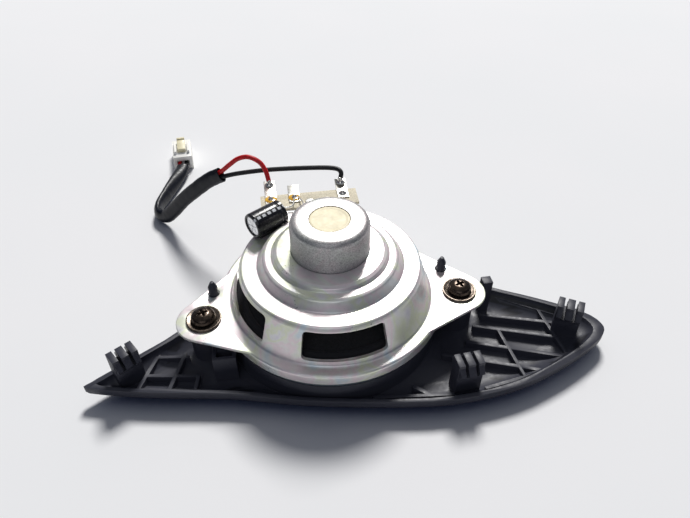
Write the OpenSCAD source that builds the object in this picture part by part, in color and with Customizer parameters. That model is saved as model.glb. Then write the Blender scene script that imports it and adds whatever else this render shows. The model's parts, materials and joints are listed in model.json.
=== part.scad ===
// Dashboard tweeter: a small paper-cone loudspeaker screwed to the inner side of
// its moulded dashboard corner grille, lying face down with its cable behind it.
// Millimetres. +Z is the loudspeaker's axis, with the motor on top. X runs along
// the line of the two mounting screws.

/* [Grille panel] */
// Wall thickness of the moulded panel
wall = 2.2; // [1.8:0.1:2.6]
// Height of the panel's edge above its lowest face
rim_rise = 4; // [3:0.5:5]
// Height of the panel's rim band
rim_band = 2.6; // [2:0.2:3.4]
// Radius of the slotted sound field
field_r = 27; // [22:1:29]
// Width of one sound slot
slot_w = 1.6; // [1.2:0.1:2]
// Spacing of the sound slots
slot_pitch = 3.4; // [3:0.1:5]
// Height of the snap towers above the panel's inner face
tower_h = 14; // [11:1:16]

/* [Basket] */
// Height of the flange's upper face
flange_z = 16.2; // [15.5:0.1:17]
// Thickness of the pressed steel
steel = 1; // [0.8:0.1:1]
// Radius of the flange ring
flange_r = 36; // [35:0.5:37]
// Height of the side wall, from the flange up to the rear disc
wall_h = 12.3; // [11:0.1:13]
// Half the distance between the two mounting screws
screw_x = 41; // [40:0.5:42]
// How far the screw line lies in front of the loudspeaker's axis
screw_back = 7.7; // [6:0.1:9]

/* [Motor] */
// Outer radius of the motor pot
pot_r = 12.2; // [11.8:0.1:12.3]
// Height of the motor pot above the basket's rear disc
pot_top = 16.6; // [15:0.1:18]
// Radius of the voice coil's former
coil_r = 10.2; // [10:0.05:10.3]

/* [Capacitor] */
// Radius of the capacitor's can
cap_r = 4; // [3.8:0.1:4.2]
// Length of the capacitor
cap_len = 11.5; // [10:0.5:12]

/* [Leads] */
// Radius of one insulated wire
wire_r = 0.85; // [0.7:0.05:0.9]

/* [Hidden] */
$fn = 64;
eps = 0.01;
cut = 0.5;

// ---- Heights and places, all measured from the loudspeaker's axis at the table ----

disc_z = flange_z + wall_h;
under_flange = flange_z - steel;
surround_rim = 0.5;
gasket_top = under_flange - surround_rim;
seat_z = 10.4;
ear_r = 8.6;
pin_x = 38;
pin_y = 3.6;
ring_in = 31.2;
ring_out = 35;
lip_drop = 2.4;
foot_r = 32;

// Panel edge, seen from above, anticlockwise from the left tip
edge_knots = [[-76.5, -21], [-58, -25.5], [-35, -29.5], [-14.5, -35], [9, -39.5], [31, -42],
    [51, -40.2], [66, -35.5], [78, -30], [85.5, -25], [87, -20.5], [83, -14.5], [70, -6],
    [56.5, 1.5], [43, 11], [33, 23], [20, 34.5], [3, 41], [-15, 37.5], [-28, 26], [-39, 10.5],
    [-51, -2.5], [-62, -10], [-70, -15.2], [-75.5, -18.8]];

function wrap(list, i) = list[(i + len(list)) % len(list)];

// Smooth closed curve through the knots, steps points on each stretch
function smooth_loop(k, steps) = [for (i = [0:len(k) - 1]) for (s = [0:steps - 1])
    let (t = s / steps, a = wrap(k, i - 1), b = k[i], c = wrap(k, i + 1), d = wrap(k, i + 2))
    0.5 * (2 * b + (c - a) * t + (2 * a - 5 * b + 4 * c - d) * t * t
        + (3 * b - a - 3 * c + d) * t * t * t)];

edge = smooth_loop(edge_knots, 3);

// The loop drawn in towards the panel's middle, a tenth less across the panel than along it
middle = [4, -9];
function drawn_in(loop, f) = [for (p = loop)
    middle + [f * (p[0] - middle[0]), (0.9 * f + 0.1) * (p[1] - middle[1])]];

// Solder tags: place along X and far end along Y
tags = [[-16.4, 42.4], [-8.2, 38.6], [9, 40]];

// The origin is at the middle of the part's outline, so the loudspeaker's axis lies off it
axis_x = -(max([for (p = edge) p[0]]) + min([for (p = edge) p[0]])) / 2;
axis_y = -(tags[0][1] + min([for (p = edge) p[1]])) / 2;

module seated() {
    translate([axis_x, axis_y, 0]) children();
}

// ---- Shared shapes ----

// A solid whose sections are loops of equal count, each at its own height
module loft(loops, heights) {
    n = len(loops[0]);
    m = len(loops);
    points = [for (j = [0:m - 1]) for (p = loops[j]) [p[0], p[1], heights[j]]];
    sides = [for (j = [0:m - 2]) for (i = [0:n - 1])
        let (a = j * n + i, b = j * n + (i + 1) % n) each [[a, a + n, b], [b, a + n, b + n]]];
    bottom = [[for (i = [0:n - 1]) i]];
    top = [[for (i = [n - 1:-1:0]) (m - 1) * n + i]];
    polyhedron(points, concat(sides, bottom, top), 4);
}

// Smooth open curve through points of any size, steps points on each stretch
function smooth_path(k, steps) = let (n = len(k)) concat([for (i = [0:n - 2]) for (s = [0:steps - 1])
    let (t = s / steps, b = k[i], c = k[i + 1], a = i > 0 ? k[i - 1] : 2 * b - c,
        d = i < n - 2 ? k[i + 2] : 2 * c - b)
    0.5 * (2 * b + (c - a) * t + (2 * a - 5 * b + 4 * c - d) * t * t
        + (3 * b - a - 3 * c + d) * t * t * t)], [k[n - 1]]);

function unit(v) = v / norm(v);
function tangent(path, i) = unit(path[min(i + 1, len(path) - 1)] - path[max(i - 1, 0)]);

// Side direction square to the path: the hint with its part along the path taken out
function side(path, i, hint) = let (t = tangent(path, i)) unit(hint - (hint * t) * t);

// Ring of points about a path point: a wide half-width and a thin half-width
function section(path, i, hint, wide, thin, count) =
    let (t = tangent(path, i), w = side(path, i, hint), v = cross(t, w))
    [for (k = [0:count - 1]) let (a = 360 * k / count)
        path[i] + w * wide * cos(a) + v * thin * sin(a)];

function ring_quads(base_a, base_b, n) = [for (i = [0:n - 1])
    let (j = (i + 1) % n) each [[base_a + i, base_b + i, base_a + j],
        [base_a + j, base_b + i, base_b + j]]];

// Solid tube along a path, its ends square
module tube(path, hints, r, count = 8) {
    m = len(path);
    points = [for (i = [0:m - 1]) each section(path, i, hints[i], r, r, count)];
    sides = [for (i = [0:m - 2]) each ring_quads(i * count, (i + 1) * count, count)];
    start = [[for (i = [0:count - 1]) i]];
    end = [[for (i = [count - 1:-1:0]) (m - 1) * count + i]];
    polyhedron(points, concat(sides, start, end), 4);
}

// Hollow flattened tube along a path
module flat_tube(path, hints, wide, thin, skin, count = 12) {
    m = len(path);
    outer = [for (i = [0:m - 1]) each section(path, i, hints[i], wide, thin, count)];
    inner = [for (i = [0:m - 1])
        each section(path, i, hints[i], wide - skin, thin - skin, count)];
    shift = m * count;
    out_sides = [for (i = [0:m - 2]) each ring_quads(i * count, (i + 1) * count, count)];
    in_sides = [for (i = [0:m - 2])
        each ring_quads(shift + (i + 1) * count, shift + i * count, count)];
    start = ring_quads(shift, 0, count);
    end = ring_quads((m - 1) * count, shift + (m - 1) * count, count);
    polyhedron(concat(outer, inner), concat(out_sides, in_sides, start, end), 4);
}

module ring(r_out, r_in, h) {
    difference() {
        cylinder(r = r_out, h = h);
        translate([0, 0, -cut]) cylinder(r = r_in, h = h + 2 * cut);
    }
}

// Turned solid from a half section given as radius and height pairs
module turned(points) {
    rotate_extrude($fn = 96) polygon(points);
}

// Children at both ears
module both_ears(x = screw_x, y = -screw_back) {
    for (s = [-1, 1]) translate([s * x, y, 0]) children();
}

// ---- Grille panel ----

// Sections of the pillow-shaped panel, as its share of the full outline and of its rise
pillow = [[0.82, 0], [0.88, 0.12], [0.93, 0.35], [0.97, 0.65], [0.992, 0.9], [1, 1]];
skin_share = 0.04;
rim_top = rim_rise + rim_band;

module panel_shell() {
    outside = [for (p = pillow) drawn_in(edge, p[0])];
    inside = [for (p = pillow) drawn_in(edge, p[0] - skin_share)];
    last = len(pillow) - 1;
    difference() {
        loft(concat(outside, [edge]), concat([for (p = pillow) p[1] * rim_rise], [rim_top]));
        loft(concat([for (k = [0:last - 1]) inside[k]], [inside[last]]),
            concat([for (k = [0:last - 1]) pillow[k][1] * rim_rise + wall], [rim_top + cut]));
    }
}

module sound_slots() {
    count = floor(field_r / slot_pitch);
    linear_extrude(height = wall + 2 * cut) intersection() {
        circle(r = field_r, $fn = 96);
        difference() {
            for (k = [-count:count]) translate([0, k * slot_pitch]) square([2 * field_r, slot_w], true);
            for (x = [-16, 0, 16]) translate([x, 0]) square([2, 2 * field_r], true);
        }
    }
}

module rib_post(p, top, t) {
    translate([p[0] - t / 2, p[1] - t / 2, wall - 0.4]) cube([t, t, top - wall + 0.4]);
}

module rib(a, b, top = 4.6, t = 0.9) {
    hull() {
        rib_post(a, top, t);
        rib_post(b, top, t);
    }
}

// Barbed snap tower with two slots in its upper half
module snap_tower(x, y, turn) {
    translate([x, y, wall - 0.4]) rotate([0, 0, turn]) {
        difference() {
            union() {
                translate([-4, -2.4, 0]) cube([8, 4.8, tower_h]);
                translate([-3.7, 0, tower_h - 6.2]) rotate([90, 0, 90])
                    linear_extrude(height = 7.4) polygon([[-2, 0], [-4.2, 3], [-2, 5.6],
                        [2, 5.6], [4.2, 3], [2, 0]]);
            }
            for (s = [-1.6, 1.6]) translate([s - 0.5, -6, tower_h - 4.4]) cube([1, 12, 5]);
        }
    }
}

module locating_pin(s) {
    translate([s * pin_x, pin_y, wall - 0.4]) {
        cylinder(r = 1.95, h = under_flange - wall + 0.4 - 0.3);
        cylinder(r = 1.5, h = flange_z - wall + 3.4);
        translate([0, 0, flange_z - wall + 3.4 - eps]) cylinder(r1 = 1.5, r2 = 0.6, h = 2, $fn = 24);
    }
}

module grille_panel() {
    color([0.07, 0.075, 0.09]) difference() {
        union() {
            panel_shell();
            // Seat for the loudspeaker's gasket
            translate([0, 0, wall - 0.4]) ring(ring_out, ring_in, seat_z - wall + 0.4);
            both_ears() translate([0, 0, wall - 0.4])
                cylinder(r = 5.2, h = under_flange - wall + 0.4);
            locating_pin(-1);
            locating_pin(1);
            snap_tower(-65, -16.5, 33);
            snap_tower(75, -19, -31);
            snap_tower(36, -35, 4);
            // Wall behind the right ear
            translate([50.4, -5.4, wall - 0.4]) cube([3.2, 3.2, 14]);
            panel_pocket();
            panel_ribs();
        }
        translate([0, 0, -cut]) sound_slots();
        both_ears() translate([0, 0, wall]) cylinder(r = 1.6, h = under_flange);
    }
}

module panel_pocket() {
    translate([-39, -21.2, wall - 0.4]) difference() {
        cube([7, 5.6, 10.6]);
        translate([1.1, 1.1, 1]) cube([4.8, 3.4, 12]);
    }
}

module panel_ribs() {
    // Left wing
    rib([-55.8, -7], [-62.2, -22.2]);
    rib([-48.6, -10.5], [-52.8, -23.6]);
    rib([-62.8, -9.8], [-47.6, -11.8]);
    rib([-60, -17.4], [-44.2, -20]);
    rib([-44.2, -20], [-45.2, -25.2]);
    rib([-67.5, -21.4], [-39, -26.4]);
    rib([-63.2, -11.6], [-51.8, -4.6]);
    // Right wing
    rib([50, -9], [74.4, -16.6]);
    rib([46, -13.4], [70.4, -22]);
    rib([41.6, -19.6], [70, -30]);
    rib([32.6, -23.6], [60.6, -34]);
    rib([69.6, -5.8], [71.4, -29]);
    rib([53.4, -16.4], [55, -35]);
    rib([58.4, -2], [82.6, -17.4]);
    rib([42, -38], [60, -35.2]);
    rib([60, -35.2], [78, -26.8]);
    // Front edge
    rib([8, -36.2], [31, -38.6]);
    rib([20.4, -34.2], [24.4, -37.6]);
}

module grille_cloth() {
    color([0.1, 0.1, 0.11]) translate([0, 0, wall]) cylinder(r = field_r + 0.8, h = 0.3);
}

// ---- Basket ----

// Tangent points from the ring to one ear circle: side is 1 for the rear edge, -1 for the front
function ear_turn(r_ring, s) = let (d = norm([screw_x, screw_back]))
    s * acos((r_ring - ear_r) / d);
function ear_point(r_ring, s, r, centre) = let (a = atan2(-screw_back, screw_x) + ear_turn(r_ring, s))
    centre + r * [cos(a), sin(a)];

module ear_plan(tangent_r = 32.4) {
    c = [screw_x, -screw_back];
    translate(c) circle(r = ear_r);
    polygon([ear_point(tangent_r, 1, tangent_r, [0, 0]), ear_point(tangent_r, 1, ear_r, c), c,
        ear_point(tangent_r, -1, ear_r, c), ear_point(tangent_r, -1, tangent_r, [0, 0]), [0, 0]]);
}

// Outer face of the pressing from the flange foot up to the motor
function basket_face() = [[foot_r, flange_z], [foot_r - 0.2, flange_z + 0.9], [28.8, disc_z - 1.8],
    [28.3, disc_z - 0.6], [27.2, disc_z], [23, disc_z], [22.3, disc_z + 0.6], [21.3, disc_z + 2.8],
    [20.4, disc_z + 3.4], [18.5, disc_z + 3.6], [17.9, disc_z + 4.4], [17, disc_z + 5],
    [12.4, disc_z + 5.6]];

function basket_back() = let (t = steel * 0.8) [[12.4, disc_z + 5.6 - t], [16.6, disc_z + 5 - t],
    [17.1, disc_z + 3.6 - t], [19.8, disc_z + 3.2 - t], [20.7, disc_z + 2.2 - t],
    [21.8, disc_z - t], [26.8, disc_z - t], [27.6, disc_z - 1.2 - t], [foot_r - 1, flange_z],
    [foot_r - 1, under_flange], [foot_r, under_flange]];

// Sector-shaped cutter for a window centred on an angle
module window(centre, half) {
    steps = 6;
    arc = [for (k = [0:steps]) centre - half + 2 * half * k / steps];
    translate([0, 0, flange_z + 1.5]) linear_extrude(height = wall_h - 3)
        polygon(concat([for (a = arc) 40 * [cos(a), sin(a)]], [[0, 0]]));
}

module basket() {
    color([0.86, 0.87, 0.84]) difference() {
        union() {
            difference() {
                turned(concat(basket_face(), basket_back()));
                window(-90, 24);
                window(90, 24);
                window(0, 42);
                window(180, 42);
            }
            translate([0, 0, under_flange]) linear_extrude(height = steel) difference() {
                union() {
                    circle(r = flange_r, $fn = 96);
                    ear_plan();
                    mirror([1, 0]) ear_plan();
                }
                circle(r = foot_r - 1, $fn = 96);
            }
            // Turned-down lip of the ring
            translate([0, 0, under_flange - lip_drop]) ring(flange_r, flange_r - 0.8, lip_drop + steel);
            // Tongue that carries the terminal board
            translate([-6.5, 25, disc_z - 0.8]) cube([13, 8.5, 0.8]);
        }
        both_ears() translate([0, 0, under_flange - cut]) cylinder(r = 2.1, h = steel + 2 * cut);
        both_ears(pin_x, pin_y) translate([0, 0, under_flange - cut])
            cylinder(r = 1.8, h = steel + 2 * cut);
        for (x = board_rivet_x) translate([x, board_rivet_y, disc_z - 2]) cylinder(r = 1, h = 4);
    }
}

module speaker_gasket() {
    color([0.27, 0.3, 0.32]) translate([0, 0, seat_z]) ring(ring_out, ring_in, gasket_top - seat_z);
}

// ---- Motor ----

pot_wall = 1.2;
pot_base = 1.6;
recess_r = 6.2;
magnet_h = 5.4;
plate_h = 3;
pot_z = disc_z + pot_top;

module motor_pot() {
    rim_z = disc_z + 3.4;
    color([0.66, 0.66, 0.64]) difference() {
        turned([[0, rim_z], [pot_r, rim_z], [pot_r, pot_z - 2.4], [pot_r - 0.7, pot_z - 0.8],
            [pot_r - 2.2, pot_z], [0, pot_z]]);
        translate([0, 0, rim_z - cut]) cylinder(r = pot_r - pot_wall, h = pot_z - pot_base - rim_z + cut);
        translate([0, 0, pot_z - 0.7]) cylinder(r = recess_r, h = 2);
    }
}

module pot_plug() {
    color([0.9, 0.86, 0.72]) translate([0, 0, pot_z - 0.7]) cylinder(r = recess_r, h = 0.5);
}

module magnet() {
    color([0.35, 0.35, 0.37]) translate([0, 0, pot_z - pot_base - magnet_h])
        cylinder(r = 9.3, h = magnet_h);
}

module pole_plate() {
    color([0.6, 0.6, 0.58]) translate([0, 0, pot_z - pot_base - magnet_h - plate_h])
        cylinder(r = 9.8, h = plate_h);
}

// Washer that holds the pot in the basket's centre hole
module yoke_ring() {
    color([0.6, 0.6, 0.58]) translate([0, 0, disc_z + 3.4]) ring(15.5, pot_r, 0.9);
}

// ---- Moving assembly ----

former_bottom = disc_z - 1.2;

module coil_former() {
    color([0.72, 0.45, 0.2]) translate([0, 0, former_bottom]) ring(coil_r + 0.12, coil_r, 11.6);
}

module coil_winding() {
    color([0.75, 0.4, 0.16]) translate([0, 0, disc_z + 4.6]) ring(coil_r + 0.4, coil_r + 0.12, 5.6);
}

cone_edge_z = flange_z + 0.2;

module cone() {
    color([0.12, 0.12, 0.12]) turned([[coil_r + 0.12, former_bottom], [27, cone_edge_z],
        [28.2, cone_edge_z], [28.2, cone_edge_z + 0.4], [27.2, cone_edge_z + 0.4],
        [coil_r + 0.12, former_bottom + 0.7]]);
}

module dust_cap() {
    cap_z = former_bottom;
    rise = 3;
    ball = (coil_r * coil_r + rise * rise) / (2 * rise);
    color([0.1, 0.1, 0.1]) translate([0, 0, cap_z]) intersection() {
        translate([0, 0, ball - rise]) difference() {
            sphere(r = ball, $fn = 96);
            sphere(r = ball - 0.4, $fn = 96);
        }
        translate([0, 0, -rise - cut]) cylinder(r = coil_r, h = rise + cut);
    }
}

// Roll edge: its flat rim is held under the flange and its inner edge rides on the cone
module surround() {
    rim = under_flange;
    top = cone_edge_z + 0.9;
    color([0.16, 0.16, 0.17]) turned([[ring_out - 0.2, rim], [ring_out - 0.2, rim - surround_rim],
        [30.6, rim - surround_rim], [29.6, rim], [28.6, top - 0.48], [27.4, top - 0.48],
        [27.4, top], [28.9, top], [29.9, rim + 0.6], [30.9, rim]]);
}

// Corrugated damper between the former and the underside of the rear disc
module spider() {
    low = disc_z - 1.3;
    waves = [for (k = [0:4]) [12.4 + 1.5 * k, low + 1.9 - 0.28 * k + (k % 2 == 0 ? 0.35 : -0.35)]];
    face = concat([[coil_r + 0.2, low + 2.1]], waves, [[19.8, low + 0.3], [21.4, low], [25.6, low]]);
    back = [for (k = [len(face) - 1:-1:0]) face[k] + [0, 0.5]];
    color([0.75, 0.62, 0.35]) turned(concat(face, back));
}

lead_hint = [1, 0, 0];

module tinsel_leads() {
    routes = [[[-6, 14.6, disc_z - 3.6], [-6.6, 19, disc_z - 3.6], [-7.4, 25, disc_z - 3.4],
        [-8, 30, disc_z - 2.6], [-8, 32, disc_z - 0.2]],
        [[6, 14.6, disc_z - 3.6], [7, 19, disc_z - 3.6], [8.6, 25, disc_z - 3.4],
        [10, 30, disc_z - 2.6], [10, 32, disc_z - 0.2]]];
    color([0.8, 0.62, 0.45]) for (r = routes) {
        path = smooth_path(r, 4);
        tube(path, [for (p = path) lead_hint], 0.35, 6);
    }
}

// ---- Terminals ----

board_rivet_x = [-3, 3];
board_rivet_y = 30;
board = [[-20, 27.6], [14, 36]];
tag_hole_y = 33;

module terminal_board() {
    size = board[1] - board[0];
    color([0.87, 0.84, 0.74]) difference() {
        translate([board[0][0], board[0][1], disc_z]) cube([size[0], size[1], 1]);
        for (x = board_rivet_x) translate([x, board_rivet_y, disc_z - 1]) cylinder(r = 1, h = 3);
        for (t = tags) translate([t[0], tag_hole_y, disc_z - 1]) cylinder(r = 0.8, h = 3);
    }
}

// Tinned tags: a flat foot on the board and a raised solder end behind it
module terminal_tags() {
    foot_y = 30.6;
    color([0.8, 0.78, 0.7]) for (t = tags) translate([t[0] - 2, 0, disc_z + 1]) {
        difference() {
            translate([0, foot_y, 0]) cube([4, 36 - foot_y, 0.5]);
            translate([2, tag_hole_y, -1]) cylinder(r = 0.8, h = 3);
        }
        translate([0, 36, 0]) rotate([90, 0, 90]) linear_extrude(height = 4)
            polygon([[-0.1, 0], [0, 0], [t[1] - 36, 1.4], [t[1] - 36, 1.9], [-0.1, 0.5]]);
    }
}

module board_rivets() {
    color([0.75, 0.74, 0.7]) for (x = board_rivet_x) translate([x, board_rivet_y, disc_z - 1.4]) {
        cylinder(r = 1.6, h = 0.6);
        cylinder(r = 1, h = 2.8);
        translate([0, 0, 2.4]) cylinder(r = 1.7, h = 0.6);
    }
}

module solder_joints() {
    color([0.78, 0.74, 0.6]) {
        for (t = tags) translate([t[0], tag_hole_y, disc_z + 1.5])
            cylinder(r1 = 1.5, r2 = 0.5, h = 0.9, $fn = 24);
        for (k = [0, 2]) translate([tags[k][0], tags[k][1] - 1.6, disc_z + 2.6])
            cylinder(r1 = 1.4, r2 = 0.6, h = 1.1, $fn = 24);
    }
}

// ---- Capacitor ----

cap_from = [-23.3, 15.1];
cap_turn = 33;
cap_skin = 0.25;
cap_z = disc_z + cap_r + cap_skin + 0.35;

module at_capacitor() {
    translate([cap_from[0], cap_from[1], cap_z]) rotate([0, 0, cap_turn]) rotate([0, 90, 0]) children();
}

module capacitor_can() {
    color([0.82, 0.83, 0.84]) at_capacitor() difference() {
        cylinder(r = cap_r, h = cap_len - 0.5);
        translate([0, 0, cap_len - 2.4]) cylinder(r = cap_r - 0.4, h = 3);
    }
}

module capacitor_sleeve() {
    color([0.05, 0.05, 0.06]) at_capacitor() difference() {
        translate([0, 0, -cap_skin]) cylinder(r = cap_r + cap_skin, h = cap_len + cap_skin);
        cylinder(r = cap_r, h = cap_len + cut);
        translate([0, 0, -cut - cap_skin]) cylinder(r = cap_r - 0.7, h = 2);
    }
}

module capacitor_bung() {
    color([0.08, 0.08, 0.08]) at_capacitor() difference() {
        translate([0, 0, cap_len - 2.4]) cylinder(r = cap_r - 0.4, h = 1.8);
        for (s = [-1.25, 1.25]) translate([0, s, cap_len - 3]) cylinder(r = 0.34, h = 4);
    }
}

// Bare wires from the bung to the first and second tags
module capacitor_leads() {
    ends = [for (s = [-1.25, 1.25]) let (a = cap_turn) [cap_from[0], cap_from[1], cap_z]
        + [cos(a) * (cap_len - 2.2) - sin(a) * s, sin(a) * (cap_len - 2.2) + cos(a) * s, 0]];
    out = [cos(cap_turn), sin(cap_turn), 0];
    paths = [[ends[1], ends[1] + 3.4 * out, [-9.6, 25.4, disc_z + 3.6], [-8.6, 30, disc_z + 2.6],
        [-8.2, 32.4, disc_z + 2.1]],
        [ends[0], ends[0] + 3 * out, [-7.4, 21.6, disc_z + 3.8], [-5.6, 27, disc_z + 3],
        [-6.8, 32.6, disc_z + 2]]];
    color([0.8, 0.8, 0.8]) for (p = paths) {
        path = smooth_path(p, 4);
        tube(path, [for (q = path) [0, 0, 1]], 0.28, 6);
    }
}

module adhesive_pad() {
    color([0.06, 0.06, 0.07]) translate([cap_from[0], cap_from[1], 0]) rotate([0, 0, cap_turn])
        difference() {
            translate([1.2, -2.2, disc_z]) cube([8.6, 5.4, 2.1]);
            translate([-1, 0, cap_z]) rotate([0, 90, 0]) cylinder(r = cap_r + cap_skin, h = 14);
        }
}

// ---- Fasteners ----

washer_h = 0.8;

module screw_washers() {
    color([0.2, 0.17, 0.13]) both_ears() translate([0, 0, flange_z]) ring(5.5, 2, washer_h);
}

// Pan-head screws with a cross recess, turned down into the panel's bosses
module mounting_screws() {
    head = 2.6;
    color([0.1, 0.09, 0.08]) both_ears() translate([0, 0, flange_z + washer_h]) difference() {
        union() {
            intersection() {
                translate([0, 0, head - 6.4]) sphere(r = 6.4);
                cylinder(r = 3.9, h = head);
            }
            translate([0, 0, -11]) cylinder(r = 1.45, h = 11.2);
            cylinder(r = 1.9, h = 0.2);
        }
        for (a = [20, 110]) rotate([0, 0, a]) translate([-1.9, -0.4, head - 1.5]) cube([3.8, 0.8, 3]);
    }
}

// ---- Cable ----

plug_turn = 5;
plug_at = [-54, 104.6, 0];
contact_x = 1.5;
plug_w = 8.4;
plug_l = 15;
plug_h = 6.4;

// Middle line of the sleeve: from its mouth down to the table, round the bend and back
sleeve_route = [[-33.5, 51, 30.2], [-38.5, 53.5, 26.6], [-44, 56, 21.4], [-50, 59, 15],
    [-55, 61.5, 8.6], [-59, 63.8, 4.2], [-62.4, 67.4, 3.1], [-62.6, 73, 3], [-60.4, 80, 3],
    [-57.8, 88, 3], [-55.6, 95, 3], [-54.6, 99, 3], [-54.2, 101.5, 3]];
// Direction across the pair of wires at each of those places
sleeve_across = [[0.62, -0.5, -0.6], [0.6, -0.5, -0.62], [0.55, -0.5, -0.67], [0.4, -0.45, -0.8],
    [0.25, -0.3, -0.92], [0.1, -0.15, -0.98], [0, 0, -1], [0.1, 0, -0.98], [0.4, 0.1, -0.9],
    [0.7, 0.2, -0.68], [0.9, 0.2, -0.35], [1, 0.15, -0.1], [1, 0.1, 0]];
red_start = [[-16.4, 41, 31.9], [-17.2, 43.2, 35.2], [-19, 45.2, 37.8], [-22.6, 47, 39.2],
    [-26.4, 48.2, 38.2], [-30, 49.6, 35]];
black_start = [[9, 38.6, 31.9], [9.4, 40.6, 34], [6.4, 42.8, 34.4], [-4, 45.6, 33.6],
    [-16, 47.6, 32.8], [-25, 49, 31.6], [-30, 49.8, 30.6]];
plug_end = [[-54.1, 103.8, 3], [-54.2, 106.3, 3]];
plug_across = [cos(plug_turn), sin(plug_turn), 0];
pair_gap = 0.98;

function pair_point(i, s) = sleeve_route[i] + s * pair_gap * side(sleeve_route, i, sleeve_across[i]);
sleeve_count = len(sleeve_route);
function wire_knots(start, s) = concat(start, [for (i = [0:sleeve_count - 1]) pair_point(i, s)],
    [for (p = plug_end) p + s * contact_x * unit(plug_across)]);

module wire(start, s) {
    knots = wire_knots(start, s);
    across = concat([for (p = start) [0, 0, 1]], sleeve_across, [plug_across, plug_across]);
    path = smooth_path(knots, 3);
    hints = smooth_path(across, 3);
    tube(path, hints, wire_r);
}

module red_wire() {
    color([0.75, 0.05, 0.08]) wire(red_start, -1);
}

module black_wire() {
    color([0.04, 0.04, 0.05]) wire(black_start, 1);
}

module wire_sleeve() {
    path = smooth_path(sleeve_route, 4);
    hints = smooth_path(sleeve_across, 4);
    color([0.05, 0.055, 0.07]) flat_tube(path, hints, 2.9, 1.75, 0.45);
}

// ---- Connector ----

module at_plug() {
    translate(plug_at) rotate([0, 0, plug_turn]) children();
}

module connector_housing() {
    color([0.93, 0.93, 0.88]) at_plug() difference() {
        union() {
            translate([-plug_w / 2, 0, 0]) cube([plug_w, plug_l, plug_h]);
            // Side rails of the latch
            for (s = [-1, 1]) translate([s * 2.9 - 0.5, 3, plug_h - eps]) cube([1, 9, 1.4]);
        }
        // Two wire cavities, wide at the back and narrow at the mating face
        for (s = [-1, 1]) translate([s * contact_x - 1.2, -cut, 1.6]) cube([2.4, 9, 2.8]);
        for (s = [-1, 1]) translate([s * contact_x - 1, -cut, 2]) cube([2, plug_l + 2 * cut, 2]);
    }
}

module connector_latch() {
    color([0.9, 0.88, 0.76]) at_plug() translate([-1.8, 4, plug_h + 0.1]) {
        cube([3.6, 1, 1.8]);
        translate([0, 0.5, 1]) cube([3.6, 9.1, 0.8]);
        translate([0, 8.4, 1.4]) cube([3.6, 1.2, 1]);
    }
}

module connector_contacts() {
    color([0.8, 0.75, 0.55]) at_plug() for (s = [-1, 1]) translate([s * contact_x, 2, 3])
        rotate([-90, 0, 0]) ring(0.9, 0.45, 9);
}

seated() grille_panel();
seated() grille_cloth();
seated() speaker_gasket();
seated() basket();
seated() motor_pot();
seated() pot_plug();
seated() magnet();
seated() pole_plate();
seated() yoke_ring();
seated() coil_former();
seated() coil_winding();
seated() spider();
seated() cone();
seated() dust_cap();
seated() surround();
seated() tinsel_leads();
seated() terminal_board();
seated() terminal_tags();
seated() board_rivets();
seated() solder_joints();
seated() capacitor_can();
seated() capacitor_sleeve();
seated() capacitor_bung();
seated() capacitor_leads();
seated() adhesive_pad();
seated() mounting_screws();
seated() screw_washers();
seated() red_wire();
seated() black_wire();
seated() wire_sleeve();
seated() connector_housing();
seated() connector_latch();
seated() connector_contacts();
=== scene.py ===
"""Dashboard loudspeaker on its corner grille: pieces, finishes and stage."""
import json
import random
from math import acos, atan2, cos, hypot, pi, radians, sin

import bpy
from bpy.props import FloatProperty, FloatVectorProperty, IntProperty
from mathutils import Matrix, Vector

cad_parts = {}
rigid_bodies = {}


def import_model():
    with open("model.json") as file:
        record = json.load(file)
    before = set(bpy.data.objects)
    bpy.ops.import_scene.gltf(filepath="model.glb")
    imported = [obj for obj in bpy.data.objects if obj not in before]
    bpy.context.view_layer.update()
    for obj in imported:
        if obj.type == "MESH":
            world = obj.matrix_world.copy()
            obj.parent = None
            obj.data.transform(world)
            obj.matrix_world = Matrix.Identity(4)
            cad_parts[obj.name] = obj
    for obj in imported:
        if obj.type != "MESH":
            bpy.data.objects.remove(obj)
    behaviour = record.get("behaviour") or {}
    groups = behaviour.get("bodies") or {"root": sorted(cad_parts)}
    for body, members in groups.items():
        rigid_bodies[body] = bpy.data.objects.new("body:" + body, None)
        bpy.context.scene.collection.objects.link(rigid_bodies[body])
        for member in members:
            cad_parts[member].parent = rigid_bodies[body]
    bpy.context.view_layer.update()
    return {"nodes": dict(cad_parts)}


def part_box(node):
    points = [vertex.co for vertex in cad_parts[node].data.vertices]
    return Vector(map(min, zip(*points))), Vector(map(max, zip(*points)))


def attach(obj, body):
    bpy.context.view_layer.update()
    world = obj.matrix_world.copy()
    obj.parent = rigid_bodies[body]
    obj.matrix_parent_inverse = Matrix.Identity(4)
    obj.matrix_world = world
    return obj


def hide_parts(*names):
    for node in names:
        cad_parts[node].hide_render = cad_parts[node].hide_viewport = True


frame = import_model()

bl_info = {
    "name": "Dashboard loudspeaker",
    "version": (1, 0, 0),
    "blender": (4, 5, 0),
    "location": "3D View > Sidebar > Loudspeaker",
    "description": "Builds the loudspeaker, its corner grille and cable around the packed frame",
    "category": "Object",
}

MM = 0.001
POT_LOW, POT_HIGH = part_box("motor_pot")
AXIS = Vector(((POT_LOW[0] + POT_HIGH[0]) / 2, (POT_LOW[1] + POT_HIGH[1]) / 2, 0))

# Heights above the table, in millimetres
FLANGE = 16.2
UNDER = 15.2
DISC = 28.5
POT_TOP = 45.1
SEAT = 10.4
WALL = 2.2
# Places from the loudspeaker's axis, in millimetres
EARS = ((-41.0, -7.7), (41.0, -7.7))
PINS = ((-38.0, 3.6), (38.0, 3.6))
TAGS = ((-16.4, 42.4), (-8.2, 38.6), (9.0, 40.0))
CAP_FROM = (-23.3, 15.1)
CAP_TURN = radians(33)
CAP_Z = DISC + 4.6
PLUG_TURN = radians(5)
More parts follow.
